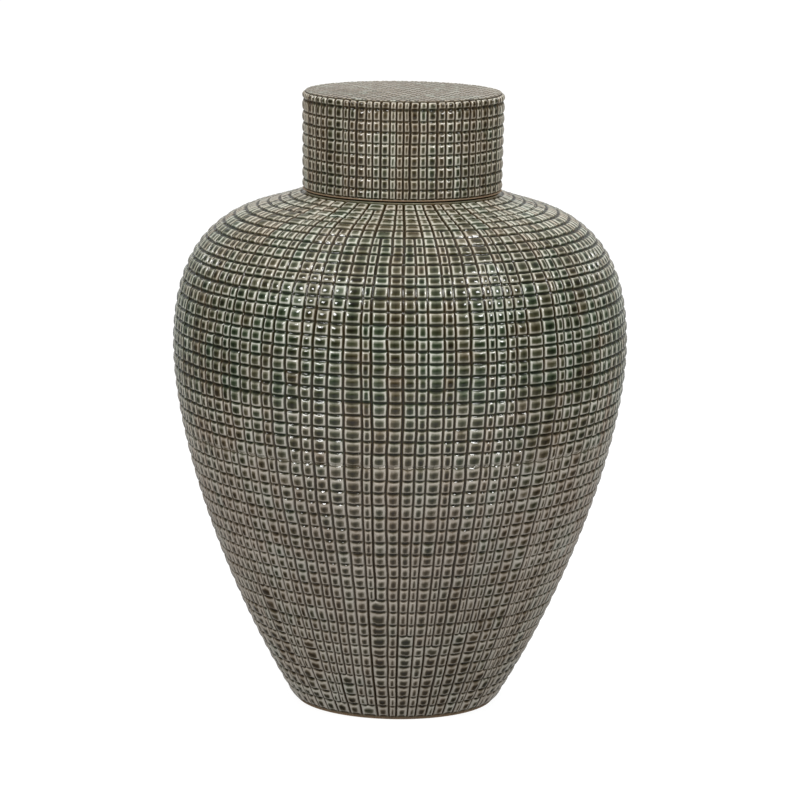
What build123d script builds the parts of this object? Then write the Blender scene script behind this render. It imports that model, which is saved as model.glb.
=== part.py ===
"""Ginger jar: a round stoneware jar with a wide shoulder, a narrow foot and a straight-sided cap lid.

Millimetres, +Z up. The origin is the centre of the foot, on the surface that the jar stands on.
The jar and its lid are separate fired pieces. The lid caps a short neck and rests on the shoulder.
"""

from build123d import *
import os

# Driving dimensions
TOTAL_HEIGHT = 406.0
BELLY_RADIUS = 149.5
LID_RADIUS = 66.2
LID_HEIGHT = 65.5
FOOT_RADIUS = 66.0
WALL = 7.0

# The jar's outer outline from the foot to the shoulder, as shares of the belly radius and of the
# height of the seat that the lid rests on
SEAT_HEIGHT = TOTAL_HEIGHT - LID_HEIGHT
OUTLINE_SHARES = [
    (0.457, 0.006),
    (0.601, 0.119),
    (0.816, 0.335),
    (0.970, 0.576),
    (0.994, 0.758),
    (0.877, 0.901),
    (0.695, 0.9610),
    (0.562, 0.9795),
    (0.445, 0.9970),
]

# Neck and seat, hidden under the lid
NECK_CLEARANCE = 2.0
NECK_RISE = 38.0
NECK_WALL = 6.0
THROAT_ROUNDING = 4.0
SEAT_RADIUS = LID_RADIUS - 2.4

# Foot
FOOT_RING_WIDTH = 9.0
FOOT_RECESS_DEPTH = 4.5
FLOOR_THICKNESS = 8.0

FLOOR_CORNER = 9.0

# Where the inside is measured from the outside, as shares of the outline's length from the foot
INNER_SHARES = [0.05, 0.2, 0.34, 0.48, 0.62, 0.75, 0.86, 0.95]

# Lid
LID_WALL = 6.8
LID_TOP_THICKNESS = 7.5
LID_CROWN = 0.8
LID_TAPER = 0.8
LID_CORNER = 3.4
RIM_SOFTENING = 1.2

lid_bore_radius = LID_RADIUS - LID_WALL
neck_radius = lid_bore_radius - NECK_CLEARANCE
mouth_radius = neck_radius - NECK_WALL
neck_top = SEAT_HEIGHT + NECK_RISE
foot_recess_radius = FOOT_RADIUS - FOOT_RING_WIDTH
floor_height = FOOT_RECESS_DEPTH + FLOOR_THICKNESS

outline = [(r * BELLY_RADIUS, z * SEAT_HEIGHT) for r, z in OUTLINE_SHARES]
outer_curve = Spline(*outline)


def inside_of_wall(share):
    """The point one wall thickness inside the outer curve, at this share of the curve's length."""
    point = outer_curve @ share
    along = outer_curve % share
    return (point.X - along.Y * WALL, point.Y + along.X * WALL)


# Jar body: foot ring, belly, shoulder, seat and neck, thrown and fired as one piece
inner_points = [inside_of_wall(share) for share in INNER_SHARES]
throat = (mouth_radius, SEAT_HEIGHT - WALL)
foot_slope = outer_curve % INNER_SHARES[0]
above_floor = inner_points[0][1] - floor_height
floor_edge = (inner_points[0][0] - above_floor * foot_slope.X / foot_slope.Y, floor_height)

with BuildPart() as jar_body:
    with BuildSketch(Plane.XZ):
        with BuildLine():
            # outside, from the foot ring up to the top of the neck
            Polyline((foot_recess_radius, 0), (FOOT_RADIUS, 0), outline[0])
            Spline(*outline)
            Polyline(
                outline[-1],
                (SEAT_RADIUS, outline[-1][1]),
                (SEAT_RADIUS, SEAT_HEIGHT),
                (neck_radius, SEAT_HEIGHT),
                (neck_radius, neck_top),
                (mouth_radius, neck_top),
                throat,
            )
            # inside, from the throat down to the floor
            Spline(throat, *reversed(inner_points))
            # floor, centre line and the recess inside the foot ring
            Polyline(
                inner_points[0],
                floor_edge,
                (0, floor_height),
                (0, FOOT_RECESS_DEPTH),
                (foot_recess_radius - FOOT_RECESS_DEPTH / 2, FOOT_RECESS_DEPTH),
                (foot_recess_radius, 0),
            )
        make_face()
    revolve(axis=Axis.Z)
    lip = jar_body.edges().filter_by(GeomType.CIRCLE).group_by(Axis.Z)[-1]
    fillet(lip, radius=NECK_WALL * 0.42)
    circles = jar_body.edges().filter_by(GeomType.CIRCLE)
    floor_rim = circles.filter_by_position(Axis.Z, floor_height - 0.01, floor_height + 0.01)
    fillet(floor_rim, radius=FLOOR_CORNER)
    circles = jar_body.edges().filter_by(GeomType.CIRCLE)
    throat_edge = circles.filter_by_position(Axis.Z, throat[1] - 0.01, throat[1] + 0.01)
    fillet(throat_edge, radius=THROAT_ROUNDING)
jar_body.part.label = "jar_body"

# Lid: a straight-sided cap, very slightly narrower at its rim, with a rounded top edge
with BuildPart() as lid:
    with BuildSketch(Plane.XZ):
        with BuildLine():
            rim_radius = LID_RADIUS - LID_TAPER
            side_top = TOTAL_HEIGHT - LID_CROWN
            Polyline(
                (0, TOTAL_HEIGHT - LID_TOP_THICKNESS),
                (lid_bore_radius, TOTAL_HEIGHT - LID_TOP_THICKNESS),
                (lid_bore_radius, SEAT_HEIGHT),
                (rim_radius, SEAT_HEIGHT),
                (LID_RADIUS, side_top),
            )
            ThreePointArc(
                (LID_RADIUS, side_top),
                (LID_RADIUS / 2, TOTAL_HEIGHT - LID_CROWN / 4),
                (0, TOTAL_HEIGHT),
            )
            Line((0, TOTAL_HEIGHT), (0, TOTAL_HEIGHT - LID_TOP_THICKNESS))
        make_face()
    revolve(axis=Axis.Z)
    circles = lid.edges().filter_by(GeomType.CIRCLE)
    top_edge = circles.filter_by_position(Axis.Z, side_top - 0.01, side_top + 0.01)
    fillet(top_edge, radius=LID_CORNER)
    rim = lid.edges().filter_by(GeomType.CIRCLE).group_by(Axis.Z)[0]
    fillet(rim, radius=RIM_SOFTENING)
    ceiling = TOTAL_HEIGHT - LID_TOP_THICKNESS
    inner_corner = lid.edges().filter_by(GeomType.CIRCLE)
    inner_corner = inner_corner.filter_by_position(Axis.Z, ceiling - 0.01, ceiling + 0.01)
    fillet(inner_corner, radius=LID_CORNER)
lid.part.label = "lid"

os.makedirs("parts", exist_ok=True)
export_step(jar_body.part, "parts/jar_body.step")
export_step(lid.part, "parts/lid.step")
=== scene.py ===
"""The looks of the ginger jar: carved stoneware under a pooled glaze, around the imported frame.

Metres, +Z up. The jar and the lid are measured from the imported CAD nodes, then rebuilt as closed
rings of clay whose outside carries the carving: rows of small cells, each a low pillow with a pale
rim and a darker middle, between grooves. Carving sizes are in millimetres, and become metres by MM.
"""

import bpy
import math
import numpy as np
from mathutils import Matrix, Vector
from mathutils.bvhtree import BVHTree
from numpy.polynomial import Chebyshev

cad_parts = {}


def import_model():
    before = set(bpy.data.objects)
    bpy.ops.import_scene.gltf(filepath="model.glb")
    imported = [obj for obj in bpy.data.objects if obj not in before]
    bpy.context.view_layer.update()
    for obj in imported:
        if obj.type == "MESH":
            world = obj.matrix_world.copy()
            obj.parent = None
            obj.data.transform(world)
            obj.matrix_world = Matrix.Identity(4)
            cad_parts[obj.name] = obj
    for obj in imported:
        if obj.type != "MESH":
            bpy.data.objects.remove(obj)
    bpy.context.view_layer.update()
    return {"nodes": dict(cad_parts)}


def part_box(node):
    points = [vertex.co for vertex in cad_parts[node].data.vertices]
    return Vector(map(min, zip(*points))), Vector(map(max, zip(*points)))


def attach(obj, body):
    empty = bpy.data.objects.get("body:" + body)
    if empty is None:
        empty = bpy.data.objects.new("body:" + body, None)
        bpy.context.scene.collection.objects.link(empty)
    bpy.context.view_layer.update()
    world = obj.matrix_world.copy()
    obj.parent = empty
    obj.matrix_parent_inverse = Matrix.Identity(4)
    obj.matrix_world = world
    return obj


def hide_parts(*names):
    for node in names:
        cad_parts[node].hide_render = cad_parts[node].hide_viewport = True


MM = 0.001
TURN = 2 * math.pi
# where the rays that measure the CAD from outside start
FAR = 1.0

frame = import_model()
_, jar_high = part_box("jar_body")
lid_low, lid_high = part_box("lid")
HEIGHT = lid_high.z


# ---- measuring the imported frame

def surface_tree(node):
    """A search tree over a CAD node's surface."""
    mesh = frame["nodes"][node].data
    faces = [tuple(face.vertices) for face in mesh.polygons]
    return BVHTree.FromPolygons([vertex.co for vertex in mesh.vertices], faces)


jar_tree = surface_tree("jar_body")
lid_tree = surface_tree("lid")


def radius_outside(tree, z):
    """The radius of the outer surface at height z, found from outside."""
    return tree.ray_cast(Vector((FAR, 0, z)), Vector((-1, 0, 0)))[0].x


def radius_inside(tree, z):
    """The radius of the inner surface at height z, found from the axis."""
    return tree.ray_cast(Vector((0, 0, z)), Vector((1, 0, 0)))[0].x


def height_on_axis(tree, z, way):
    """The height of the first surface above z on the axis, or below it where way is -1."""
    return tree.ray_cast(Vector((0, 0, z)), Vector((0, 0, way)))[0].z


class Outline:
    """A smooth half outline, by distance along it from its lower end. Lengths are in metres."""

    DEGREE = 22
    SAMPLES = 1200

    def __init__(self, radii, heights):
        steps = np.hypot(np.diff(radii), np.diff(heights))
        along = np.concatenate([[0], np.cumsum(steps)])
        self.length = along[-1]
        even = np.linspace(0, self.length, self.SAMPLES)
        self.r = Chebyshev.fit(even, np.interp(even, along, radii), self.DEGREE)
        self.z = Chebyshev.fit(even, np.interp(even, along, heights), self.DEGREE)
        self.dr = self.r.deriv()
        self.dz = self.z.deriv()

    def at(self, s):
        """Radius, height and the outward normal's two parts at distance s."""
        dr, dz = self.dr(s), self.dz(s)
        size = np.hypot(dr, dz)
        return self.r(s), self.z(s), dz / size, -dr / size


# the carving runs from just above the foot's rounded edge to just below the lid's seat
FOOT_EDGE = 2.1 * MM
SEAT_STEP = 1.05 * MM
HEIGHT_SAMPLES = 3400

seat_z = lid_low.z
shoulder_top_z = seat_z - SEAT_STEP
z_samples = np.linspace(FOOT_EDGE, shoulder_top_z, HEIGHT_SAMPLES)
jar_outline = Outline([radius_outside(jar_tree, z) for z in z_samples], z_samples)

neck_top_z = jar_high.z
neck_middle_z = (seat_z + neck_top_z) / 2
neck_radius = radius_outside(jar_tree, neck_middle_z)
mouth_radius = radius_inside(jar_tree, neck_middle_z)
floor_z = height_on_axis(jar_tree, seat_z / 2, -1)
recess_z = height_on_axis(jar_tree, -MM, 1)
lid_bore_radius = radius_inside(lid_tree, neck_middle_z)
lid_ceiling_z = height_on_axis(lid_tree, neck_middle_z, 1)
lid_rim_radius = radius_outside(lid_tree, seat_z + 2 * MM)


# ---- the carving

class Style:
    """Carving sizes in millimetres, for a cell of the reference size. Smaller ones are cut finer."""

    # upright grooves between columns, and level grooves, called rings, between rows
    groove = 0.88
    groove_depth = 1.05
    ring = 0.95
    ring_depth = 1.00
    # how far a cell falls from its middle to its edges, and how late it does
    dome = 1.0
    dome_power = 1.9
    # how far in from an edge the glaze starts to pool in a cell, how soon it is full, and how thick
    shade_from = 1.42
    shade_reach = 1.95
    shade = 0.90
    # how much a ring sags in a cell, how deeply it cuts across the upright ridges, how much it wavers
    bow = 0.35
    crossing = 0.8
    wobble = 0.20
    reference = 8.4


class LidStyle(Style):
    """The lid's side: wider rings, and cells that are rounder and darker closer to their edge."""

    ring = 1.04
    dome = 1.1
    shade_from = 1.35
    shade_reach = 1.9
    bow = 0.30
    crossing = 0.55
    wobble = 0.12


# where a cell's mesh lines lie, as distances in from its edge, when it is at least 2 * FULL_HALF wide
CELL_LINES = np.array([0.0, 0.55, 1.15, 1.70, 2.55])
FULL_HALF = 3.7
# mesh points across a column, and mesh lines up a row with the one shared with the next row
PER_CELL = 2 * len(CELL_LINES)


def smooth(x):
    """Rises smoothly from 0 to 1 while x does."""
    x = np.clip(x, 0, 1)
    return x * x * (3 - 2 * x)


def blend(first, last, x, start, reach):
    """Goes smoothly from first to last while x goes from start to start + reach."""
    return first + (last - first) * smooth((x - start) / reach)


def cell_positions(size):
    """Positions of mesh lines across cells of these sizes: from 0 to the last one before the end."""
    half = size[..., None] / 2
    squeeze = np.minimum(1, half / FULL_HALF)
    near = CELL_LINES * squeeze
    whole = size[..., None]
    return np.concatenate([near, half, whole - near[..., :0:-1]], axis=-1)


class Carving:
    """A grid of cells round an outline: rings are row edges along it, angles are column edges."""

    # column widths, as shares of their mean
    WIDTH_SPREAD = 0.17
    WIDTH_RANGE = (0.70, 1.42)
    # how much chance there is in which pairs of columns merge, in radians
    MERGE_SPREAD = 0.008
    # three broad waves that neighbouring columns share, then three short ones of each column's own
    DRIFT_TURNS = (1, 2, 3, 7, 11, 16)
    BROAD = 3
    SHORT_WAVE = 0.25
    # how much grooves and cells differ, and how many cells are paler than the others, by how much
    SIZE_SPREAD = 0.10
    COLUMN_SPREAD = 0.05
    RING_SPREAD = 0.12
    PALE_SHARE = 0.015
    PALE = 0.7
    # how much of a cell's own shade is its own, and how much its column's
    CELL_TONE = 0.55
    COLUMN_TONE = 0.45
    # how much of a ring's waver is slow, and how much is a step at each column
    SLOW_WAVER = 0.55
    STEP_WAVER = 0.8
    # the finest and the coarsest carving, and how closely it follows a cell's size
    SCALE_RANGE = (0.60, 1.05)
    SCALE_POWER = 0.7
    # how quickly pooled glaze thins beside a groove's bottom
    POOL_FALL = 0.8
    # how far from an upright groove a ring starts to deepen, over what distance, and its width at
    # a cell's sides and how much more it is in the middle
    STROKE_FROM, STROKE_REACH = 1.1, 2.0
    LENS_SIDE, LENS_SWELL = 0.62, 0.46
    # how much greener rings and cells' middles are than upright grooves
    GREEN_RING, GREEN_MIDDLE = 0.6, 0.4

    def __init__(self, outline, rings, columns, seed, merge=None, style=Style, drift=0.0):
        self.outline = outline
        self.rings = np.asarray(rings) * MM
        self.style = style
        self.rng = np.random.default_rng(seed)
        widths = self.rng.normal(1, self.WIDTH_SPREAD, columns).clip(*self.WIDTH_RANGE)
        self.edges = np.concatenate([[0], np.cumsum(widths / widths.sum() * TURN)])
        self.columns = columns
        self.rows = len(rings) - 1
        self.alive = np.ones((self.rows, columns), bool)
        if merge:
            self.merge_columns(*merge)
        self.plan_irregularities(drift)

    def merge_columns(self, low, high):
        """Where the outline narrows, grooves between narrow columns end and pairs of columns merge.

        A pair merges where it is narrower than a limit of its own, between low and high millimetres."""
        widths = np.diff(self.edges)
        pair = widths + np.roll(widths, 1)
        order = np.argsort(pair + self.rng.normal(0, self.MERGE_SPREAD, self.columns))
        chosen = np.zeros(self.columns, bool)
        for j in order:
            if not chosen[j - 1] and not chosen[(j + 1) % self.columns]:
                chosen[j] = True
        limit_low = self.rng.uniform(low, high, self.columns)
        limit_high = self.rng.uniform(low, high, self.columns)
        for k in range(self.rows):
            middle = (self.rings[k] + self.rings[k + 1]) / 2
            radius = self.outline.r(middle) / MM
            limit = limit_low if middle < self.outline.length / 2 else limit_high
            self.alive[k] = ~(chosen & (radius * pair < limit))

    def plan_irregularities(self, drift):
        """Draws every chance difference: how grooves drift and waver, how wide and dark they are."""
        rng, n, broad = self.rng, self.columns, self.BROAD
        kinds = len(self.DRIFT_TURNS)
        waves = rng.normal(0, 1, (kinds, n))
        waves[:broad] = sum(np.roll(waves[:broad], step, 1) for step in (0, 1, -1)) / 2
        waves[broad:] *= self.SHORT_WAVE
        self.drift_waves = waves * drift * TURN / n
        self.drift_phase = rng.uniform(0, TURN, (kinds, n))
        self.drift_phase[:broad] = self.drift_phase[:broad, :1]
        self.ring_waves = rng.normal(0, 1, (self.rows + 1, 3))
        self.ring_phase = rng.uniform(0, TURN, (self.rows + 1, 3))
        self.column_step = rng.normal(0, 1, (self.rows + 1, n))
        self.groove_size = 1 + rng.normal(0, self.SIZE_SPREAD, n)
        self.ring_size = 1 + rng.normal(0, self.SIZE_SPREAD, (self.rows + 1, n))
        self.middle_size = 1 + rng.normal(0, self.SIZE_SPREAD, (self.rows, n))
        self.middle_size += rng.normal(0, self.COLUMN_SPREAD, n)
        self.middle_size[rng.random((self.rows, n)) < self.PALE_SHARE] *= self.PALE
        self.tone = rng.normal(0, 1, (self.rows, n)) * self.CELL_TONE
        self.tone += rng.normal(0, 1, n) * self.COLUMN_TONE
        self.ring_strength = 1 + rng.normal(0, self.RING_SPREAD, self.rows + 1)
        # for each ring: how deeply it cuts across the upright ridges, and how much it sags
        self.crossing = np.full(self.rows + 1, self.style.crossing)
        self.bow = np.full(self.rows + 1, self.style.bow)
        # for each row: its cells' darkness, the extra width of their pale rims, the width of its
        # upright grooves and how thick the glaze lies in them
        self.row_shade = np.ones(self.rows)
        self.rim = np.zeros(self.rows)
        self.narrow = np.ones(self.rows)
        self.wet = np.ones(self.rows)

    def edge_angles(self, s):
        """Every column edge's angle at distance s, in order, with the first repeated a turn on."""
        t = s / self.outline.length * TURN
        waves = zip(self.DRIFT_TURNS, self.drift_waves, self.drift_phase)
        shift = sum(wave * np.sin(turns * t + phase) for turns, wave, phase in waves)
        angles = self.edges[:-1] + shift
        return np.append(angles, angles[0] + TURN)

    def neighbours(self, row):
        """For each column, the nearest carved edge to its left and to its right."""
        carved = np.flatnonzero(self.alive[min(row, self.rows - 1)])
        n = self.columns
        edges = np.concatenate([carved - n, carved, carved + n])
        after = np.searchsorted(edges, np.arange(n), side="right")
        return edges[after - 1], edges[after]

    def cells_at(self, row, edges, theta):
        """For each place: its cell's two edge numbers and angles, and how far across it lies."""
        sides = self.neighbours(row)
        # an edge's number may be less than 0 or past the last one
        left, right = (edges[i % self.columns] + (i // self.columns) * TURN for i in sides)
        left, right = left[:, None], right[:, None]
        return *sides, left, right, (theta - left) / (right - left)

    def ring_offset(self, k, theta, across):
        """How far row edge k lies from its plan: a slow waver, column steps and a sag in each cell."""
        style = self.style
        waves = enumerate(zip(self.ring_waves[k], self.ring_phase[k]), 1)
        waver = sum(wave * np.sin(turns * theta + phase) for turns, (wave, phase) in waves)
        step = self.column_step[k][:, None] * np.sin(math.pi * across) ** 0.5
        sag = np.sin(math.pi * across) ** 1.3
        wavers = self.SLOW_WAVER * waver + self.STEP_WAVER * step
        return (style.wobble * wavers - self.bow[k] * sag) * MM

    def build(self):
        """Places along and round the outline, heights and shading, as (lines, columns) arrays."""
        grid = []
        top = None
        for k in range(self.rows):
            low, high = self.rings[k], self.rings[k + 1]
            heights = cell_positions(np.array((high - low) / MM))
            lines = [self.line(k, low, high, share) for share in heights / heights[-1]]
            if top:
                # two rows share this line, and it takes the deeper carving of both
                lines[0]["h"] = np.minimum(lines[0]["h"], top["h"])
                lines[0]["pool"] = np.maximum(lines[0]["pool"], top["pool"])
            top = lines.pop()
            grid += lines
        grid.append(top)
        return {name: np.array([line[name].ravel() for line in grid]) for name in grid[0]}

    def line(self, k, low, high, share):
        """One line of mesh points round the outline, at this share of row k's height."""
        style = self.style
        s_mid = low + (high - low) * share
        edges = self.edge_angles(s_mid)
        radius = self.outline.r(s_mid)
        widths = np.diff(edges) * radius / MM
        across = cell_positions(widths)[:, :PER_CELL]
        theta = edges[:-1, None] + across * MM / radius
        left, right, theta_left, theta_right, u = self.cells_at(k, edges, theta)
        u_up = self.cells_at(k + 1, edges, theta)[-1]
        s_low = low + self.ring_offset(k, theta, u)
        s_high = high + self.ring_offset(k + 1, theta, u_up)
        if k == 0:
            s_low = np.full_like(theta, low)
        if k == self.rows - 1:
            s_high = np.full_like(theta, high)
        s = s_low + (s_high - s_low) * share
        # distances to the cell's four edges, in millimetres
        d_left = (theta - theta_left) * radius / MM
        d_right = (theta_right - theta) * radius / MM
        d_low = (s - s_low) / MM
        d_high = (s_high - s) / MM
        group = left % self.columns
        cell_w = (theta_right - theta_left) * radius / MM
        cell_h = (s_high - s_low) / MM
        scale = (np.minimum(cell_w, cell_h) / style.reference).clip(*self.SCALE_RANGE)
        scale = scale ** self.SCALE_POWER
        # distance from each groove's bottom, in groove widths
        column_groove = style.groove * self.narrow[k] * scale
        size_l = self.groove_size[left % self.columns][:, None] * column_groove
        size_r = self.groove_size[right % self.columns][:, None] * column_groove
        x = np.minimum(d_left / size_l, d_right / size_r)
        stroke, size_low = self.stroke(k, group, d_left, d_right, u, scale)
        stroke_up, size_high = self.stroke(k + 1, group, d_left, d_right, u_up, scale)
        y_low, y_high = d_low / size_low, d_high / size_high
        y = np.minimum(y_low, y_high)
        cut = np.where(y_low < y_high, stroke, stroke_up)
        upright = np.exp(-(x ** 2))
        level = np.exp(-(y ** 2)) * cut
        groove = style.groove_depth * upright + style.ring_depth * level * (1 - upright)
        # each cell is a low pillow between its grooves
        full = self.middle_size[k][group][:, None] * self.row_shade[k]
        side = np.abs(2 * d_left / (d_left + d_right) - 1) ** style.dome_power
        rise = np.abs(2 * d_low / (d_low + d_high) - 1) ** style.dome_power
        dome = 1 - (1 - side) * (1 - rise * (0.4 + 0.6 * cut))
        h = -scale * (groove + style.dome * dome)
        # pooled glaze, from 0 on the ridges to 1 in the grooves, and dark again in each cell's middle
        wet_x = self.wet[k] * np.exp(-self.POOL_FALL * x ** 3)
        wet_y = self.wet[k] * np.exp(-self.POOL_FALL * y ** 3) * cut ** 0.8
        start = (style.shade_from + self.rim[k]) * np.sqrt(scale)
        reach = style.shade_reach * scale
        shade_x = smooth((np.minimum(d_left, d_right) - start) / reach)
        shade_y = smooth((np.minimum(d_low, d_high) - start) / reach)
        middle = style.shade * full * (shade_x * shade_y) ** 0.66
        pool = np.maximum(np.maximum(wet_x, wet_y), middle)
        # upright grooves are browner, rings and middles greener
        warm = wet_x - self.GREEN_RING * wet_y * (1 - wet_x) - self.GREEN_MIDDLE * middle
        tone = np.broadcast_to(self.tone[k][group][:, None], theta.shape)
        return {"s": s, "theta": theta, "h": h, "pool": pool, "tone": tone, "warm": warm}

    def stroke(self, k, group, d_left, d_right, across, scale):
        """How strongly ring k is cut at each place across a cell, and its width there.

        It is weaker beside the upright grooves, and widest in the cell's middle, like a lens."""
        style = self.style
        inward = np.minimum(d_left, d_right) / scale
        strength = blend(self.crossing[k], 1, inward, self.STROKE_FROM, self.STROKE_REACH)
        lens = self.LENS_SIDE + self.LENS_SWELL * np.sin(math.pi * across)
        size = self.ring_size[k][group][:, None] * self.ring_strength[k] * style.ring * lens * scale
        return strength, size


def grid_normals(points):
    """Smooth normals of a grid of points that closes round its second direction."""
    along = np.gradient(points, axis=0)
    around = np.roll(points, -1, axis=1) - np.roll(points, 1, axis=1)
    normals = np.cross(around, along)
    return normals / np.linalg.norm(normals, axis=-1, keepdims=True).clip(1e-12)


# ---- closed rings of clay

# glaze thickness, a cell's own shade, bare clay (and painted shade, near black, below 0), and browner
# or greener
SHADING = ("pool", "tone", "bare_and_painted_shade", "warm")
PLAIN_POOL = 0.5
# in the UV square: the carving lies below CARVED_SHARE, folded into strips with gaps between
# them, and plain faces lie above it
CARVED_SHARE = 0.86
STRIPS = 4
STRIP_GAP = 0.04
MARGIN = 0.004
PLAIN_LOW, PLAIN_HIGH = CARVED_SHARE + 0.01, 0.99


def add_object(name, data):
    """A new object in the scene."""
    obj = bpy.data.objects.new(name, data)
    bpy.context.scene.collection.objects.link(obj)
    return obj


class Shell:
    """Collects points and faces of one closed piece, with a UV place and shading values for each."""

    def __init__(self):
        self.points, self.normals = [], []
        self.values = {name: [] for name in SHADING}
        # quads and triangles, by their number of corners
        self.faces = {4: [], 3: []}
        self.uvs = {4: [], 3: []}
        self.count = 0

    def add_points(self, points, pool, tone, bare_and_painted_shade, normals=None, warm=0.0):
        """Adds points and returns the first one's number. With no normals, faces shade themselves."""
        points = np.asarray(points, float).reshape(-1, 3)
        size = len(points)
        self.points.append(points)
        self.normals.append(np.zeros((size, 3)) if normals is None else normals.reshape(-1, 3))
        for key, value in zip(SHADING, (pool, tone, bare_and_painted_shade, warm)):
            self.values[key].append(np.broadcast_to(np.asarray(value, float).ravel(), size))
        start = self.count
        self.count += size
        return start

    def add_faces(self, corners, uvs):
        """Adds many quads or triangles. Each corner is an array of point numbers, with UVs (u, v)."""
        size = len(corners)
        self.faces[size].append(np.stack(corners, axis=-1).reshape(-1, size))
        pairs = [np.stack(uv, axis=-1) for uv in uvs]
        self.uvs[size].append(np.stack(pairs, axis=-2).reshape(-1, size, 2))

    def add_carving(self, points, normals, values, uv_low=0.0):
        """The carved outside: a grid that closes round its second direction."""
        lines, count = points.shape[:2]
        pool, tone, bare_and_painted_shade, warm = (values[name] for name in SHADING)
        start = self.add_points(points, pool, tone, bare_and_painted_shade, normals, warm)
        i, j = np.meshgrid(np.arange(lines - 1), np.arange(count), indexing="ij")
        j2 = (j + 1) % count
        line, above = start + i * count, start + (i + 1) * count
        corners = [line + j, line + j2, above + j2, above + j]
        # the round is folded into strips, one above another
        per = count // STRIPS
        strip = np.minimum(j // per, STRIPS - 1)
        span = np.where(strip == STRIPS - 1, count - (STRIPS - 1) * per, per)
        left = (j - strip * per) / span
        right = (j + 1 - strip * per) / span
        low, high = i / (lines - 1), (i + 1) / (lines - 1)

        def place(u, v):
            height = (CARVED_SHARE - uv_low) / STRIPS
            across = strip + STRIP_GAP / 2 + v * (1 - STRIP_GAP)
            return MARGIN + u * (1 - 2 * MARGIN), uv_low + across * height

        uvs = [place(left, low), place(right, low), place(right, high), place(left, high)]
        self.add_faces(corners, uvs)
        return start

    def add_section(self, angles, first, last, stations, from_pole=False):
        """Plain faces from first round the stations to ring last. Each station is (r, z, bare), where
        bare is how bare the clay is from 0 to 1 and painted shade below 0, with a pool value after them
        where it isn't PLAIN_POOL.

        A station with r = 0 is a pole. first and last are numbers of points already added: first is
        a ring's, or a single point's with from_pole."""
        count = len(angles)
        chain = [(from_pole, first)]
        for r, z, bare_and_painted_shade, *pool in stations:
            pool = pool[0] if pool else PLAIN_POOL
            if r == 0:
                chain.append((True, self.add_points([(0, 0, z)], pool, 0, bare_and_painted_shade)))
            else:
                ring = np.stack([r * np.cos(angles), r * np.sin(angles), np.full(count, z)], axis=-1)
                chain.append((False, self.add_points(ring, pool, 0, bare_and_painted_shade)))
        chain.append((False, last))
        j = np.arange(count)
        j2 = (j + 1) % count
        ua, ub = j / count, (j + 1) / count
        for m, ((pole_a, a), (pole_b, b)) in enumerate(zip(chain, chain[1:])):
            share = (PLAIN_HIGH - PLAIN_LOW) / len(chain)
            va = np.full(count, PLAIN_LOW + share * m)
            vb = np.full(count, PLAIN_LOW + share * (m + 1))
            if pole_a and pole_b:
                continue
            if pole_b:
                self.add_faces([a + j, a + j2, np.full(count, b)], [(ua, va), (ub, va), (ua, vb)])
            elif pole_a:
                self.add_faces([np.full(count, a), b + j2, b + j], [(ua, va), (ub, vb), (ua, vb)])
            else:
                uvs = [(ua, va), (ub, va), (ub, vb), (ua, vb)]
                self.add_faces([a + j, a + j2, b + j2, b + j], uvs)

    def build(self, name):
        """The piece as a mesh object, with a UV layer, point values and its carved normals."""
        faces = [part for parts in self.faces.values() for part in parts]
        uvs = [part.reshape(-1, 2) for parts in self.uvs.values() for part in parts]
        loops = np.concatenate([part.ravel() for part in faces]).astype(np.int32)
        sizes = np.concatenate([np.full(len(part), part.shape[1]) for part in faces])
        mesh = bpy.data.meshes.new(name)
        mesh.vertices.add(self.count)
        mesh.vertices.foreach_set("co", np.concatenate(self.points).astype(np.float32).ravel())
        mesh.loops.add(len(loops))
        mesh.loops.foreach_set("vertex_index", loops)
        mesh.polygons.add(len(sizes))
        begin = np.concatenate([[0], np.cumsum(sizes)[:-1]]).astype(np.int32)
        mesh.polygons.foreach_set("loop_start", begin)
        mesh.polygons.foreach_set("use_smooth", np.ones(len(sizes), bool))
        layer = mesh.uv_layers.new(name="OFBake")
        layer.uv.foreach_set("vector", np.concatenate(uvs).astype(np.float32).ravel())
        for key, data in self.values.items():
            attribute = mesh.attributes.new(key, "FLOAT", "POINT")
            attribute.data.foreach_set("value", np.concatenate(data).astype(np.float32))
        mesh.update(calc_edges=True)
        self.sharpen(mesh)
        normals = np.concatenate(self.normals)[loops]
        face_of = np.repeat(np.arange(len(sizes)), sizes)
        carved = np.abs(normals).sum(1) > 0
        whole = np.logical_and.reduceat(carved, begin)[face_of]
        normals[~whole] = 0
        mesh.normals_split_custom_set(normals.tolist())
        return add_object(name, mesh)

    def sharpen(self, mesh, angle=38):
        """Marks the corners of the plain faces sharp, and leaves the carving smooth."""
        mesh.set_sharp_from_angle(angle=math.radians(angle))
        carved = np.abs(np.concatenate(self.normals)).sum(1) > 0
        ends = np.zeros(len(mesh.edges) * 2, np.int32)
        mesh.edges.foreach_get("vertices", ends)
        both = carved[ends.reshape(-1, 2)].all(axis=1)
        layer = mesh.attributes["sharp_edge"]
        sharp = np.zeros(len(mesh.edges), bool)
        layer.data.foreach_get("value", sharp)
        layer.data.foreach_set("value", sharp & ~both)


def carve(carving):
    """A carved surface's points, normals and shading values, each as (lines, columns) arrays."""
    grid = carving.build()
    grid["bare_and_painted_shade"] = np.zeros_like(grid["pool"])
    r, z, nr, nz = carving.outline.at(grid["s"])
    r = r + nr * grid["h"] * MM
    z = z + nz * grid["h"] * MM
    points = np.stack([r * np.cos(grid["theta"]), r * np.sin(grid["theta"]), z], axis=-1)
    return points, grid_normals(points), {name: grid[name] for name in SHADING}


def lines_of(surface, part):
    """Some lines of a carved surface, as points, normals and shading values."""
    points, normals, values = surface
    return points[part], normals[part], {name: data[part] for name, data in values.items()}


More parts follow.
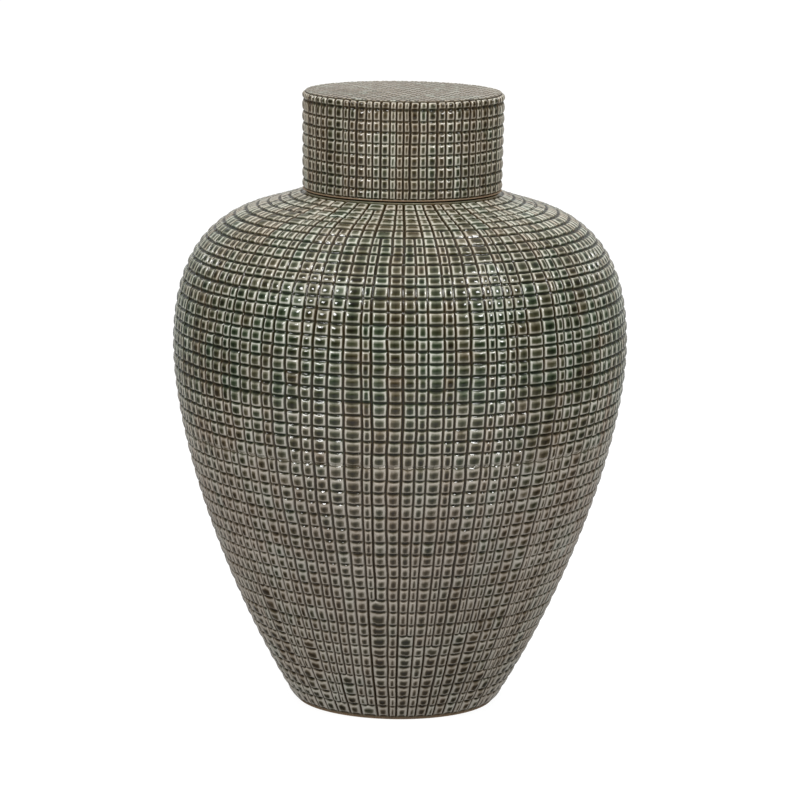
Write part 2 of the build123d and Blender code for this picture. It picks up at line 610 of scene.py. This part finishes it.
def ring_solid(name, carved, back):
    """A closed ring: a carved outside, and the plain stations back from its last line to its first."""
    points, normals, values = carved
    lines, count = points.shape[:2]
    angles = np.arctan2(points[-1, :, 1], points[-1, :, 0])
    shell = Shell()
    start = shell.add_carving(points, normals, values)
    shell.add_section(angles, start + (lines - 1) * count, start, back)
    return shell.build(name)


# ---- glaze and clay

def rgb(*channels):
    """Linear colour from the usual 0 to 255 numbers."""
    shares = [c / 255 for c in channels]
    return *(c / 12.92 if c <= 0.04045 else ((c + 0.055) / 1.055) ** 2.4 for c in shares), 1


def node(tree, kind, **settings):
    made = tree.nodes.new("ShaderNode" + kind)
    for key, value in settings.items():
        setattr(made, key, value)
    return made


def feed(tree, pairs):
    """Gives each socket its value, which is a number, a colour or another node's output."""
    for socket, value in pairs:
        if isinstance(value, (int, float, tuple)):
            socket.default_value = value
        elif value is not None:
            tree.links.new(value, socket)


def maths(tree, operation, a, b=None, c=None, clamp=False):
    made = node(tree, "Math", operation=operation, use_clamp=clamp)
    feed(tree, zip(made.inputs, (a, b, c)))
    return made.outputs[0]


def noise(tree, coordinates, scale, detail=2.0, roughness=0.5):
    """Noise with about this many spots to a metre."""
    made = node(tree, "TexNoise")
    sockets = (made.inputs[key] for key in ("Vector", "Scale", "Detail", "Roughness"))
    feed(tree, zip(sockets, (coordinates, scale, detail, roughness)))
    return made.outputs["Fac"]


def ramp(tree, value, stops):
    made = node(tree, "ValToRGB")
    elements = made.color_ramp.elements
    while len(elements) < len(stops):
        elements.new(0.5)
    for element, (position, color) in zip(elements, stops):
        element.position = position
        element.color = color
    tree.links.new(value, made.inputs["Fac"])
    return made.outputs["Color"]


def mix(tree, share, a, b, kind="MIX"):
    """a where share is 0 and b where it is 1. They are colours, by themselves or from a socket."""
    made = node(tree, "Mix", data_type="RGBA", blend_type=kind)
    factor, first, second = made.inputs[0], made.inputs[6], made.inputs[7]
    feed(tree, ((factor, share), (first, a), (second, b)))
    return made.outputs[2]


# how brown the glaze is: least at this share of the height, and more away from it up to a limit
GREENEST_AT = 0.66
LEAST_BROWN = 0.22
MOST_BROWN = 0.88
BROWNING = 2.2


def glaze_material():
    """Glaze, clay and painted shade in one: SHADING's point values say where the glaze is thin, pooled
    or missing, and where painted shade makes it near black.
    """
    material = bpy.data.materials.new("pooled_glaze")
    material.use_nodes = True
    tree = material.node_tree
    shader = tree.nodes["Principled BSDF"]
    place = node(tree, "TexCoord").outputs["Object"]
    values = (node(tree, "Attribute", attribute_name=name) for name in SHADING)
    pool, tone, bare_and_painted_shade, warm = (value.outputs["Fac"] for value in values)
    broad = noise(tree, place, 11, 3)
    patch = noise(tree, place, 45, 2)
    fine = noise(tree, place, 420, 3, 0.6)
    height = node(tree, "SeparateXYZ")
    tree.links.new(place, height.inputs[0])

    # how thick the glaze lies, from 0 where it has run off a crest to 1 in a groove
    thick = maths(tree, "ADD", pool, maths(tree, "MULTIPLY_ADD", broad, 0.26, -0.13))
    thick = maths(tree, "ADD", thick, maths(tree, "MULTIPLY_ADD", fine, 0.22, -0.11))
    thick = maths(tree, "MULTIPLY_ADD", tone, 0.035, thick, clamp=True)

    green = ramp(tree, thick, [
        (0.00, rgb(174, 175, 167)),
        (0.14, rgb(148, 150, 141)),
        (0.34, rgb(88, 94, 79)),
        (0.56, rgb(45, 55, 38)),
        (0.80, rgb(21, 30, 15)),
        (1.00, rgb(8, 12, 4)),
    ])
    brown = ramp(tree, thick, [
        (0.00, rgb(177, 170, 160)),
        (0.14, rgb(152, 144, 133)),
        (0.34, rgb(104, 94, 79)),
        (0.56, rgb(69, 59, 42)),
        (0.80, rgb(48, 38, 22)),
        (1.00, rgb(33, 24, 10)),
    ])
    # greener on the upper belly, browner low down, on the lid and in the upright grooves
    above = maths(tree, "SUBTRACT", height.outputs["Z"], GREENEST_AT * HEIGHT)
    away = maths(tree, "ABSOLUTE", above)
    brownness = maths(tree, "MULTIPLY_ADD", away, BROWNING / HEIGHT, LEAST_BROWN)
    brownness = maths(tree, "MINIMUM", brownness, MOST_BROWN)
    brownness = maths(tree, "ADD", brownness, maths(tree, "MULTIPLY_ADD", patch, 1.5, -0.75))
    brownness = maths(tree, "MULTIPLY_ADD", warm, 0.35, brownness)
    brownness = maths(tree, "MULTIPLY_ADD", tone, 0.22, brownness, clamp=True)
    glaze = mix(tree, brownness, green, brown)
    # by height: a little redder low down and yellower towards the top, which is the glaze's own hue;
    # it also makes the lower half of the jar and the lid's side darker and the shoulder and the lid's
    # top lighter, which is painted shade and painted light
    tint_and_painted_light = ramp(tree, maths(tree, "DIVIDE", height.outputs["Z"], HEIGHT), [
        (0.03, (0.83, 0.825, 0.81, 1)),
        (0.12, (0.83, 0.82, 0.80, 1)),
        (0.33, (0.76, 0.735, 0.72, 1)),
        (0.42, (0.80, 0.775, 0.755, 1)),
        (0.52, (0.96, 0.94, 0.92, 1)),
        (0.62, (1.01, 1.0, 0.98, 1)),
        (0.80, (1.09, 1.09, 1.05, 1)),
        (0.88, (0.92, 0.91, 0.86, 1)),
        (0.985, (0.92, 0.91, 0.86, 1)),
        (1.00, (1.06, 1.055, 1.0, 1)),
    ])
    glaze = mix(tree, 1.0, glaze, tint_and_painted_light, kind="MULTIPLY")

    clay = ramp(tree, fine, [(0.30, rgb(120, 98, 74)), (0.70, rgb(138, 114, 88))])
    # painted shade: below 0, the bare value turns the glaze near black, on the step under the lid's rim
    painted_shade_share = maths(tree, "MULTIPLY", bare_and_painted_shade, -1.0, clamp=True)
    glaze = mix(tree, painted_shade_share, glaze, rgb(12, 12, 10))
    bare_and_painted_shade = maths(tree, "MAXIMUM", bare_and_painted_shade, 0.0)
    color = mix(tree, bare_and_painted_shade, glaze, clay)
    tree.links.new(color, shader.inputs["Base Color"])

    shine = maths(tree, "MULTIPLY_ADD", thick, -0.08, 0.15)
    shine = maths(tree, "MULTIPLY_ADD", patch, 0.05, shine)
    matt = maths(tree, "MULTIPLY_ADD", bare_and_painted_shade, 0.6, shine, clamp=True)
    tree.links.new(matt, shader.inputs["Roughness"])
    shader.inputs["IOR"].default_value = 1.52
    shader.inputs["Specular IOR Level"].default_value = 0.27

    bump = node(tree, "Bump")
    bump.inputs["Strength"].default_value = 0.35
    bump.inputs["Distance"].default_value = 0.25 * MM
    tree.links.new(noise(tree, place, 260, 3, 0.55), bump.inputs["Height"])
    tree.links.new(bump.outputs["Normal"], shader.inputs["Normal"])
    return material


GLAZE = glaze_material()


# ---- the jar

# row heights low on the jar, high on it and in the collar beside the lid, in millimetres
LOW_PITCH = 9.0
HIGH_PITCH = 8.15
COLLAR_PITCH = 6.6
COLLAR = 36


def jar_pitch(s, length):
    """The height of the row at distance s: it shrinks slowly upward, then quickly towards the lid."""
    upward = blend(LOW_PITCH, HIGH_PITCH, s / length, 0.25, 0.45)
    return blend(upward, COLLAR_PITCH, s, length - COLLAR, COLLAR)


def ring_plan(length, pitch, seed, jitter):
    """Row edges along an outline of this length, for a row height given by pitch(s, length)."""
    rng = np.random.default_rng(seed)
    edges = [0.0]
    while edges[-1] < length - 0.5 * pitch(edges[-1], length):
        edges.append(edges[-1] + pitch(edges[-1], length) + rng.normal(0, jitter))
    edges = np.array(edges)
    return edges * (length / edges[-1])


jar_length = jar_outline.length / MM
jar_rings = ring_plan(jar_length, jar_pitch, seed=3, jitter=0.42)
jar_carving = Carving(jar_outline, jar_rings, columns=105, seed=11, merge=(9.4, 13.0), drift=0.045)
# upward, rings run on across the ridges and sag less; downward, rims are wider, and upright grooves
# narrower with thinner glaze; near the lid, the cells' middles are paler
ring_at = jar_rings / jar_length
row_at = ring_at[1:]
jar_carving.crossing = blend(0.25, 0.80, ring_at, 0.30, 0.40)
jar_carving.bow = blend(0.75, 0.30, ring_at, 0.35, 0.40)
jar_carving.ring_strength *= blend(0.96, 1.22, ring_at, 0.45, 0.25)
jar_carving.ring_strength[-1] = 0.2
jar_carving.rim = blend(0.38, 0, row_at, 0.35, 0.35)
jar_carving.narrow = blend(0.67, 0.94, row_at, 0.41, 0.25)
jar_carving.wet = blend(0.89, 1, row_at, 0.37, 0.25)
jar_carving.row_shade = blend(1, 0.65, jar_rings[1:], jar_length - 75, 50)
jar_surface = carve(jar_carving)


def wall_inside(s):
    """The point of the inner surface straight in from the outside at distance s."""
    r, z, nr, nz = jar_outline.at(s)
    start = Vector((r - nr * 0.5 * MM, 0, z - nz * 0.5 * MM))
    found = jar_tree.ray_cast(start, Vector((-nr, 0, -nz)))[0]
    return found.x, found.z


def arc(centre, radius, start, end, count, bare_and_painted_shade):
    """Stations round an arc in the section, angles in degrees from the outward direction."""
    angles = np.radians(np.linspace(start, end, count))
    return [(centre[0] + radius * math.cos(a), centre[1] + radius * math.sin(a), bare_and_painted_shade) for a in angles]


def neck_section():
    """From the end of the carved shoulder over the seat, up and over the neck, down to the throat."""
    seat_radius = radius_outside(jar_tree, seat_z - 0.4 * MM)
    half = (neck_radius - mouth_radius) / 2
    soft = 0.4 * MM
    throat_z = wall_inside(jar_outline.length * 0.995)[1] + 5 * MM
    section = [
        # the step up to the seat, under the lid's rim: dark pooled glaze, and below 0 painted shade
        # that turns it near black
        (seat_radius + soft, shoulder_top_z, 0.0, 0.25),
        (seat_radius, shoulder_top_z + soft, -0.6, 1.0),
        (seat_radius - soft, seat_z, -1.0),
        (neck_radius + 2 * MM, seat_z, 1.0),
        (neck_radius + soft, seat_z + soft, 1.0),
        (neck_radius, seat_z + 2 * MM, 1.0),
        (neck_radius, neck_middle_z, 0.9),
        (neck_radius, neck_middle_z + 3 * MM, 0.0),
    ]
    section += arc((neck_radius - half, neck_top_z - half), half, 0, 180, 9, 0.0)
    section += [(mouth_radius, neck_middle_z, 0.0), (mouth_radius, throat_z, 0.0)]
    section += arc((mouth_radius + 4 * MM, throat_z), 4 * MM, 180, 250, 5, 0.0)
    return section


def floor_section():
    """From the foot of the inner wall over the floor, then under the foot back to its outer edge."""
    inner_r, inner_z = wall_inside(10 * MM)
    foot_in = radius_inside(jar_tree, 0.5 * MM)
    recess_r = radius_inside(jar_tree, recess_z - 0.3 * MM)
    outer_r = radius_outside(jar_tree, 0.05 * MM)
    corner = 9 * MM
    return [
        (inner_r - 0.7 * MM, inner_z - 1.6 * MM, 0.0),
        (inner_r - 2.4 * MM, floor_z + 2.6 * MM, 0.0),
        (inner_r - 5.0 * MM, floor_z + 0.8 * MM, 0.0),
        (inner_r - corner, floor_z, 0.0),
        (inner_r / 2, floor_z, 0.0),
        (0, floor_z, 0.0),
        (0, recess_z, 1.0),
        (recess_r / 2, recess_z, 1.0),
        (recess_r - MM, recess_z, 1.0),
        (foot_in - 0.3 * MM, 0.7 * MM, 1.0),
        (foot_in + 0.6 * MM, 0, 1.0),
        (outer_r - 0.8 * MM, 0, 1.0),
    ]


# the wall is cut into closed rings, each small enough to be exported whole. the wall is cut into
# closed rings at row edges: outside on a row edge's mesh line, inside straight in from that edge
BANDS = 7
# along the outline: where the inner wall starts above the floor's corner and ends at the throat (as
# a share of the length), and how far apart its stations are
WALL_START = 12 * MM
WALL_END = 0.975
WALL_STEP = 9 * MM
band_rows = np.linspace(0, jar_carving.rows, BANDS + 1).round().astype(int)
for band in range(BANDS):
    low_row, high_row = band_rows[band], band_rows[band + 1]
    part = slice(low_row * PER_CELL, high_row * PER_CELL + 1)
    s_low, s_high = jar_carving.rings[low_row], jar_carving.rings[high_row]
    back = []
    if band == BANDS - 1:
        back += neck_section()
        s_high = jar_outline.length * WALL_END
    s_low = max(s_low, WALL_START)
    count = max(2, int(round((s_high - s_low) / WALL_STEP)) + 1)
    back += [(*wall_inside(s), 0.0) for s in np.linspace(s_high, s_low, count)]
    if band == 0:
        back += floor_section()
    piece = ring_solid(f"jar_wall_{band + 1}", lines_of(jar_surface, part), back)
    piece.data.materials.append(GLAZE)
    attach(piece, "jar")
    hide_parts("jar_body")


# ---- the lid

# rows on the side, their height in millimetres, and how much shorter the lowest one is
LID_ROWS = 8
LID_ROW = 7.35
LOWEST_ROW_LOSS = 0.9
# how far the top's middle stands above the top of its rounded corner, and the corner's radius
CROWN = 0.8 * MM
CORNER = 3.4 * MM
# how far up the corner the last carved row goes, in degrees
CORNER_ROW_TURN = 58

side_bottom = seat_z + 0.9 * MM
side_top = lid_high.z - CROWN - CORNER
side_z = np.linspace(side_bottom, side_top, 60)
side_r = np.array([radius_outside(lid_tree, z) for z in side_z])
turn = np.radians(np.linspace(2, CORNER_ROW_TURN, 24))
corner_r = side_r[-1] - CORNER * (1 - np.cos(turn))
corner_z = side_top + CORNER * np.sin(turn)
lid_outline = Outline(np.concatenate([side_r, corner_r]), np.concatenate([side_z, corner_z]))
flat_r = side_r[-1] - CORNER
disc_r = corner_r[-1]
lid_length = lid_outline.length / MM
side_rings = np.arange(LID_ROWS + 1) * LID_ROW
side_rings[1:] -= LOWEST_ROW_LOSS
side_rings[1:-1] += np.random.default_rng(5).normal(0, 0.15, LID_ROWS - 1)
lid_carving = Carving(lid_outline, np.append(side_rings, lid_length), columns=72, seed=23,
                      style=LidStyle, drift=0.016)
lid_carving.ring_strength[-2] = 1.5
lid_carving.ring_strength[-1] = 0.25
lid_surface = carve(lid_carving)

# the lid is cut into its side and its cap at the row edge below the last row, which runs up the
# rounded corner: outside on that edge's mesh line, and inside at its height
cut_line = LID_ROWS * PER_CELL
cut_z = lid_outline.z(lid_carving.rings[LID_ROWS])

# the inside, whose glaze is thin: from the ceiling's middle out and round its corner to the cut,
# and from the cut down and round the rim
THIN_GLAZE = 0.3
ceiling_section = [(lid_bore_radius / 2, lid_ceiling_z, THIN_GLAZE)]
ceiling_section += arc(
    (lid_bore_radius - CORNER, lid_ceiling_z - CORNER), CORNER, 90, 0, 6, THIN_GLAZE,
)
ceiling_section.append((lid_bore_radius, cut_z, THIN_GLAZE))
rim_section = [
    (lid_bore_radius, cut_z, THIN_GLAZE),
    (lid_bore_radius, neck_middle_z, 0.4),
    (lid_bore_radius, seat_z + 2 * MM, 1.0),
    (lid_bore_radius + 0.3 * MM, seat_z + 0.5 * MM, 1.0),
    (lid_bore_radius + 1.1 * MM, seat_z, 1.0),
    (lid_rim_radius - 1.2 * MM, seat_z, 1.0),
    (lid_rim_radius - 0.35 * MM, seat_z + 0.35 * MM, 1.0),
]
lid_side = ring_solid("lid_side", lines_of(lid_surface, slice(0, cut_line + 1)), rim_section)


class Diamonds:
    """The lid's top: two families of fine grooves that cross at a slant, a dish in each cell."""

    SLANT = math.radians(27)
    PITCH = 5.6
    GROOVE = 0.75
    GROOVE_DEPTH = 0.55
    GROOVE_POOL = 0.9
    # the dish starts a rim's width in from the groove
    RIM = 1.2
    REACH = 1.1
    DISH_DEPTH = 0.2
    DISH_POOL = 0.42
    # grooves in each family, and in pitches: how far each one strays and how far all of them bend
    LINES = 80
    STRAY = 0.09
    BEND = 0.05
    BEND_LENGTH = 9

    def __init__(self, seed):
        rng = np.random.default_rng(seed)
        self.shift = rng.normal(0, self.STRAY, (2, self.LINES))
        self.tone = rng.normal(0, 1, (self.LINES, self.LINES))

    def at(self, x, y):
        """Height in millimetres, pool and tone at a place given in metres."""
        near, cells = [], []
        for family, side in ((0, 1), (1, -1)):
            across = (x * math.cos(self.SLANT) - side * y * math.sin(self.SLANT)) / MM / self.PITCH
            along = (x * math.sin(self.SLANT) * side + y * math.cos(self.SLANT)) / MM
            bend = self.BEND * np.sin(along / self.BEND_LENGTH + family)
            across = across + bend + (self.LINES + 1) / 2
            index = np.round(across).astype(int)
            line = index + self.shift[family][index.clip(0, self.LINES - 1)]
            near.append(np.abs(across - line) * self.PITCH)
            cells.append(np.floor(across).astype(int).clip(0, self.LINES - 1))
        d = np.minimum(*near)
        groove = np.exp(-((d / self.GROOVE) ** 2.2))
        dish = smooth((d - self.RIM) / self.REACH)
        depth = self.GROOVE_DEPTH * groove + self.DISH_DEPTH * dish
        pool = np.maximum(self.GROOVE_POOL * groove, self.DISH_POOL * dish)
        return -depth, pool, self.tone[cells[0], cells[1]]


def crown(radius):
    """The height of the lid's plain top at a radius: a slight crown, then the rounded corner."""
    corner = np.maximum(radius - flat_r, 0).clip(0, CORNER * 0.999)
    flat = lid_high.z - CROWN * (np.minimum(radius, flat_r) / flat_r) ** 2
    return flat - CORNER + np.sqrt(CORNER ** 2 - corner ** 2)


# on the lid's cap the disc fills most of the UV square, with the corner's strips above it
DISC_UV_CENTRE = 0.405
DISC_UV_RADIUS = 0.395
CORNER_UV_LOW = 0.815
# how far apart the disc's rings of points are, and the radius at which they end
DISC_STEP = 0.62 * MM
DISC_END = 1.5 * MM
# a ring gets half as many points where a step is this many times their spacing
DISC_CROWD = 1.35
# the uncarved edge: its width, how far it drops below the top, and its pool
DISC_EDGE = 1.4 * MM
DISC_DROP = 0.25 * MM
DISC_POOL = 0.3
# how far in from the edge the points become evenly spaced
DISC_SETTLE = 8 * MM


def add_disc(shell, border, border_points):
    """The diamond-cut disc inside the ring of points border, in rings whose count halves inward."""
    diamonds = Diamonds(seed=31)
    count = len(border_points)
    edge_angles = np.unwrap(np.arctan2(border_points[:, 1], border_points[:, 0]))
    even = edge_angles.mean() + (np.arange(count) - (count - 1) / 2) * TURN / count
    radius = disc_r - 0.5 * MM
    rings = [(border, count, disc_r)]
    size = count
    while radius > DISC_END:
        if size % 2 == 0 and size * DISC_STEP / DISC_CROWD > TURN * radius:
            size //= 2
        stride = count // size
        settle = smooth((disc_r - radius) / DISC_SETTLE)
        angles = (edge_angles + (even - edge_angles) * settle)[::stride]
        x, y = radius * np.cos(angles), radius * np.sin(angles)
        h, pool, tone = diamonds.at(x, y)
        ease = smooth((disc_r - radius) / DISC_EDGE)
        z = crown(radius) + h * MM * ease - DISC_DROP * (1 - ease)
        pool = pool * ease + DISC_POOL * (1 - ease)
        normals = disc_normals(diamonds, x, y)
        start = shell.add_points(np.stack([x, y, z], axis=-1), pool, tone, 0, normals)
        rings.append((start, size, radius))
        radius -= DISC_STEP
    centre = shell.add_points([(0, 0, lid_high.z)], DISC_POOL, 0, 0, np.array([[0, 0, 1.0]]))

    def corner(ring, index):
        """The numbers and the UV places of some of a ring's points."""
        first, size, r = ring
        angle = index / size * TURN
        span = DISC_UV_RADIUS * r / disc_r
        uv = 0.5 + span * np.cos(angle), DISC_UV_CENTRE + span * np.sin(angle)
        return first + index % size, uv

    for outer, inner in zip(rings, rings[1:]):
        j = np.arange(inner[1])
        inner_a, inner_b = corner(inner, j), corner(inner, j + 1)
        if outer[1] == inner[1]:
            shell.add_faces(*zip(corner(outer, j), corner(outer, j + 1), inner_b, inner_a))
        else:
            outer_a, outer_m, outer_b = (corner(outer, 2 * j + step) for step in range(3))
            shell.add_faces(*zip(outer_a, outer_m, inner_a))
            shell.add_faces(*zip(outer_m, outer_b, inner_b))
            shell.add_faces(*zip(outer_m, inner_b, inner_a))
    j = np.arange(rings[-1][1])
    middle = corner((centre, 1, 0.0), 0 * j)
    shell.add_faces(*zip(corner(rings[-1], j), corner(rings[-1], j + 1), middle))


def disc_normals(diamonds, x, y, step=0.25 * MM):
    """Normals of the diamond-cut disc, by small steps along x and y."""
    def height(x, y):
        return crown(np.hypot(x, y)) + diamonds.at(x, y)[0] * MM

    dx = (height(x + step, y) - height(x - step, y)) / (2 * step)
    dy = (height(x, y + step) - height(x, y - step)) / (2 * step)
    normal = np.stack([-dx, -dy, np.ones_like(dx)], axis=-1)
    return normal / np.linalg.norm(normal, axis=-1, keepdims=True)


def lid_cap():
    """The top of the lid: the corner's last mesh lines, the diamond-cut disc and the ceiling."""
    points, normals, values = lines_of(lid_surface, slice(cut_line, None))
    lines, count = points.shape[:2]
    shell = Shell()
    start = shell.add_carving(points, normals, values, uv_low=CORNER_UV_LOW)
    border = start + (lines - 1) * count
    add_disc(shell, border, points[-1])
    angles = np.arctan2(points[0, :, 1], points[0, :, 0])
    pole = shell.add_points([(0, 0, lid_ceiling_z)], PLAIN_POOL, 0, THIN_GLAZE)
    shell.add_section(angles, pole, start, ceiling_section, from_pole=True)
    return shell.build("lid_cap")


lid_top = lid_cap()
for piece in (lid_side, lid_top):
    piece.data.materials.append(GLAZE)
    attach(piece, "lid")
    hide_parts("lid")


# ---- floor, light and camera

def sweep():
    """A seamless white floor and backdrop that only the camera sees, so it doesn't light the jar."""
    flat, rise, around = 5.0, 3.0, 96
    bends = np.linspace(0.2, math.pi / 2, 8)
    profile = [(0.5, 0), (flat, 0)]
    profile += [(flat + rise * math.sin(t), rise * (1 - math.cos(t))) for t in bends]
    angles = [TURN * j / around for j in range(around)]
    points = [(r * math.cos(a), r * math.sin(a), z) for r, z in profile for a in angles]
    faces = [tuple(range(around))]
    for i in range(len(profile) - 1):
        for j in range(around):
            k = (j + 1) % around
            faces.append((i * around + j, (i + 1) * around + j, (i + 1) * around + k, i * around + k))
    mesh = bpy.data.meshes.new("sweep")
    mesh.from_pydata(points, [], faces)
    obj = add_object("sweep", mesh)
    material = bpy.data.materials.new("white_sweep")
    material.use_nodes = True
    shader = material.node_tree.nodes["Principled BSDF"]
    shader.inputs["Base Color"].default_value = (0.2, 0.2, 0.2, 1)
    shader.inputs["Roughness"].default_value = 0.9
    shader.inputs["Emission Color"].default_value = (1, 1, 1, 1)
    shader.inputs["Emission Strength"].default_value = 0.85
    mesh.materials.append(material)
    obj.visible_diffuse = False
    obj.visible_glossy = False
    obj.visible_shadow = False


def softbox(name, azimuth, elevation, distance, size, brightness):
    """A square lamp facing the jar. Azimuth 0 is the camera's side, positive to its right."""
    target = Vector((0, 0, 0.6 * HEIGHT))
    a, e = math.radians(azimuth), math.radians(elevation)
    direction = Vector((math.sin(a) * math.cos(e), -math.cos(a) * math.cos(e), math.sin(e)))
    lamp = bpy.data.lights.new(name, "AREA")
    lamp.shape = "SQUARE"
    lamp.size = size
    lamp.energy = brightness * math.pi * size * size
    obj = add_object(name, lamp)
    obj.location = target + direction * distance
    obj.rotation_euler = (-direction).to_track_quat("-Z", "Y").to_euler()


# how bright the parts of the surroundings are, and how much brighter the table is in front
ROOM = 0.08
CEILING = 1.4
BACK_WALL = 0.48
TABLE = 0.08
TABLE_FRONT = 1.3


def world():
    """What lights the jar: a table, brighter in front, a ceiling, a back wall and a dim room."""
    made = bpy.data.worlds.new("studio")
    made.use_nodes = True
    tree = made.node_tree
    background = tree.nodes["Background"]
    background.inputs["Color"].default_value = (1, 1, 1, 1)
    parts = node(tree, "SeparateXYZ")
    tree.links.new(node(tree, "TexCoord").outputs["Generated"], parts.inputs[0])
    up = maths(tree, "MAXIMUM", parts.outputs["Z"], 0.0)
    ceiling = maths(tree, "MULTIPLY", maths(tree, "POWER", up, 2.0), CEILING)
    back = maths(tree, "MAXIMUM", parts.outputs["Y"], 0.0)
    back = maths(tree, "MULTIPLY", maths(tree, "POWER", back, 4.0), BACK_WALL)
    below = maths(tree, "MULTIPLY", parts.outputs["Z"], -4.0, clamp=True)
    front = maths(tree, "MINIMUM", parts.outputs["Y"], 0.0)
    table = maths(tree, "MULTIPLY", below, maths(tree, "MULTIPLY_ADD", front, -TABLE_FRONT, TABLE))
    above = maths(tree, "ADD", ceiling, back)
    strength = maths(tree, "ADD", maths(tree, "MAXIMUM", above, table), ROOM)
    tree.links.new(strength, background.inputs["Strength"])
    bpy.context.scene.world = made


CAMERA_ELEVATION = math.radians(10.3)
CAMERA_DISTANCE = 6.5 * HEIGHT
CAMERA_TARGET = Vector((0.6 * MM, 0, 0.4930 * HEIGHT))
CAMERA_LENS = 179.8
CAMERA_LEAN = math.radians(0.85)


def camera():
    """The photo's view: a long lens a little above the jar, leaning slightly."""
    view = Vector((0, -math.cos(CAMERA_ELEVATION), math.sin(CAMERA_ELEVATION)))
    data = bpy.data.cameras.new("camera")
    data.sensor_width = 36
    data.lens = CAMERA_LENS
    data.clip_end = 50
    obj = add_object("camera", data)
    obj.location = CAMERA_TARGET + view * CAMERA_DISTANCE
    turn = (-view).to_track_quat("-Z", "Y").to_matrix()
    lean = Matrix.Rotation(CAMERA_LEAN, 3, "Z")
    obj.rotation_euler = (turn @ lean).to_euler()
    bpy.context.scene.camera = obj


sweep()
world()
softbox("left_softbox", azimuth=-47, elevation=32, distance=1.6, size=0.34, brightness=51)
softbox("right_softbox", azimuth=51, elevation=34, distance=1.6, size=0.34, brightness=49)
camera()
bpy.context.scene.view_settings.view_transform = "Standard"
